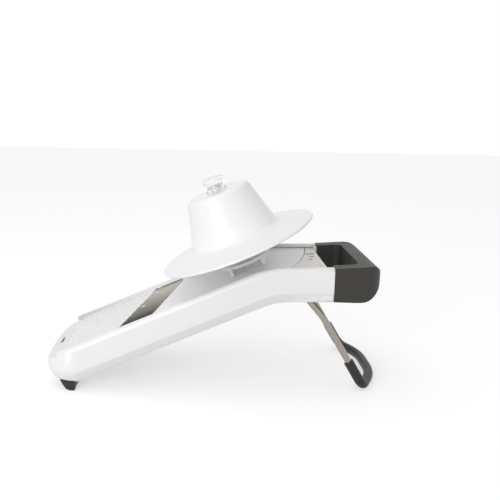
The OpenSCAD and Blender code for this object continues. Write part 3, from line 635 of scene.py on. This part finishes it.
# ---------------------------------------------------------------- Food holder
# A hat of glossy white ABS: a hollow cone that the hand rests on and a wide brim
# that keeps the fingers off the blade. One shell, 2.5 mm thick.
holder_white = moulded("holder_white_gloss", (0.915, 0.92, 0.92), (0.895, 0.90, 0.90), 0.2)
holder_along, holder_up = 230.8, 24
holder_place = slope_place @ shift(holder_along, 0, holder_up)
crown, wall, collar = 62.0, 2.5, 26


def turned_line(points, radii):
    """The corners of a lathe profile, rounded, as radius and height."""
    return [(p.x, p.z) for p in rounded([(r, 0, z) for r, z in points], radii, 12)]


outside = turned_line([(9, crown), (34.7, crown), (50, 9.6), (62, 7.2), (84, 2.6),
                       (87.6, 2.2), (88.2, 0.2), (87.4, -0.7), (84, 0)],
                      [6.5, 7, 60, 20, 1.2, 0.6, 0.6])
inside = turned_line([(84, 0), (62, 4.7), (48, 6.4), (32.4, crown - wall), (9, crown - wall),
                      (8.1, crown - collar), (5.55, crown - collar)], [60, 5, 3, 2, 0.4])
shell = lathe(outside + inside[1:] + [(5.55, crown - 0.6), (6.1, crown)], 144)
notch = slab(box_line(-1.2, 1.2, -3.5, 3.5, -15, 0.8), (0, 0, 30))
settle(notch, shift(-84, 32, 0) @ Matrix.Rotation(math.radians(-20), 4, "Z"))
cut(shell, notch)
smooth_by(shell, 34)
settle(shell, holder_place)
fit(shell, "holder_shell", holder_white, "holder", "white_plastic", "hat", "hat_brim")

# ---------------------------------------------------------------- Plunger
# The rod through the holder, with a clear knob on top and the plate of prongs
# that bites into the food below.
clear_plastic = Finish("clear_plastic", (0.93, 0.945, 0.94), 0.22, IOR=1.35)
clear_plastic.set("Transmission Weight", 1.0)
clear_plastic.bump(clear_plastic.noise(60, 2), 0.00002)
knob_foot = crown + 0.6
knob_line = turned_line(
    [(9, knob_foot), (11.4, knob_foot), (9.2, knob_foot + 4), (8.6, knob_foot + 7),
     (11.5, knob_foot + 9.5), (11.5, knob_foot + 15), (5, knob_foot + 15)],
    [0.6, 3, 2, 1.5, 3])
rod_radius, rod_end = 5.55, knob_foot + 7.4
button = lathe([(rod_radius, knob_foot), *knob_line, (0, knob_foot + 15.2),
                (0, rod_end + 0.2), (rod_radius, rod_end)], 72)
smooth_by(button, 40)
settle(button, holder_place)
fit(button, "plunger_clear_knob", clear_plastic.material, "plunger", "clear_plastic",
    "plunger_knob")
plate = soften(from_solid("prong_plate"), 0.5, 3)
fit(plate, "prong_plate_moulded", white_plastic, "plunger", "white_plastic", "prong_plate")
rod = soften(from_solid("plunger_rod"), 0.4, 2)
fit(rod, "plunger_rod_moulded", white_plastic, "plunger", "white_plastic", "plunger_rod")

# ---------------------------------------------------------------- Plunger spring
# A coil of steel wire round the rod, between the plate of prongs and the crown.
spring = smooth_by(from_solid("plunger_spring"), 75)
fit(spring, "plunger_coil_spring", bright_steel.material, "plunger", "bright_steel",
    "plunger_spring")
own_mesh(spring)

# ---------------------------------------------------------------- Studio
# A pale floor that meets a white surround, a large soft lamp from the left of the
# camera and a weak one overhead.
nothing()
bpy.ops.mesh.primitive_plane_add(size=1, location=(0, 1.0, 0))
floor = bpy.context.object
floor.name = floor.data.name = "studio_floor"
floor.scale = (8, 6, 1)
bpy.ops.object.transform_apply(location=True, rotation=True, scale=True)


def seen_by(graph):
    """One for rays from the camera or by way of gloss or clear plastic, and
    nought for the rays that carry light."""
    total = graph.node("ShaderNodeLightPath", out="Is Camera Ray")
    for kind in ("Is Glossy Ray", "Is Transmission Ray"):
        total = total + graph.node("ShaderNodeLightPath", out=kind)
    return total.limit()


def emptied(block):
    """The node tree of a new material or world, with nothing in it."""
    block.use_nodes = True
    block.node_tree.nodes.clear()
    return Graph(block.node_tree)


floor_glow = 0.545
paper = bpy.data.materials.new("studio_paper")
sheet = emptied(paper)
matt = sheet.node("ShaderNodeBsdfDiffuse", None, {"Color": (0.6, 0.6, 0.6, 1)})
glow = sheet.node("ShaderNodeEmission", None, {"Strength": seen_by(sheet) * floor_glow})
both = sheet.node("ShaderNodeAddShader", None, {0: matt, 1: glow})
sheet.node("ShaderNodeOutputMaterial", None, {"Surface": both})
floor.data.materials.append(paper)

air_light, air_seen = 0.64, 1.0
world = bpy.data.worlds.new("studio_air")
bpy.context.scene.world = world
air = emptied(world)
plain, white = (air.node("ShaderNodeBackground", None,
                         {"Strength": strength, "Color": (1, 1, 1, 1)})
                for strength in (air_light, air_seen))
swap = air.node("ShaderNodeMixShader", None, {0: seen_by(air), 1: plain, 2: white})
air.node("ShaderNodeOutputWorld", None, {"Surface": swap})


def lamp(name, spot, aim, size, power):
    """A round soft lamp turned towards a point."""
    nothing()
    bpy.ops.object.light_add(type="AREA", location=spot)
    new = bpy.context.object
    new.name = name
    new.data.shape = "DISK"
    new.data.size = size
    new.data.energy = power
    new.rotation_euler = (Vector(aim) - Vector(spot)).to_track_quat("-Z", "Y").to_euler()


lamp("softbox_top", (-0.35, 0.15, 1.3), (0, 0, 0.05), 1.1, 1.5)
lamp("softbox_left", (-0.7, -1.25, 0.42), (0, 0, 0.08), 0.9, 9.0)
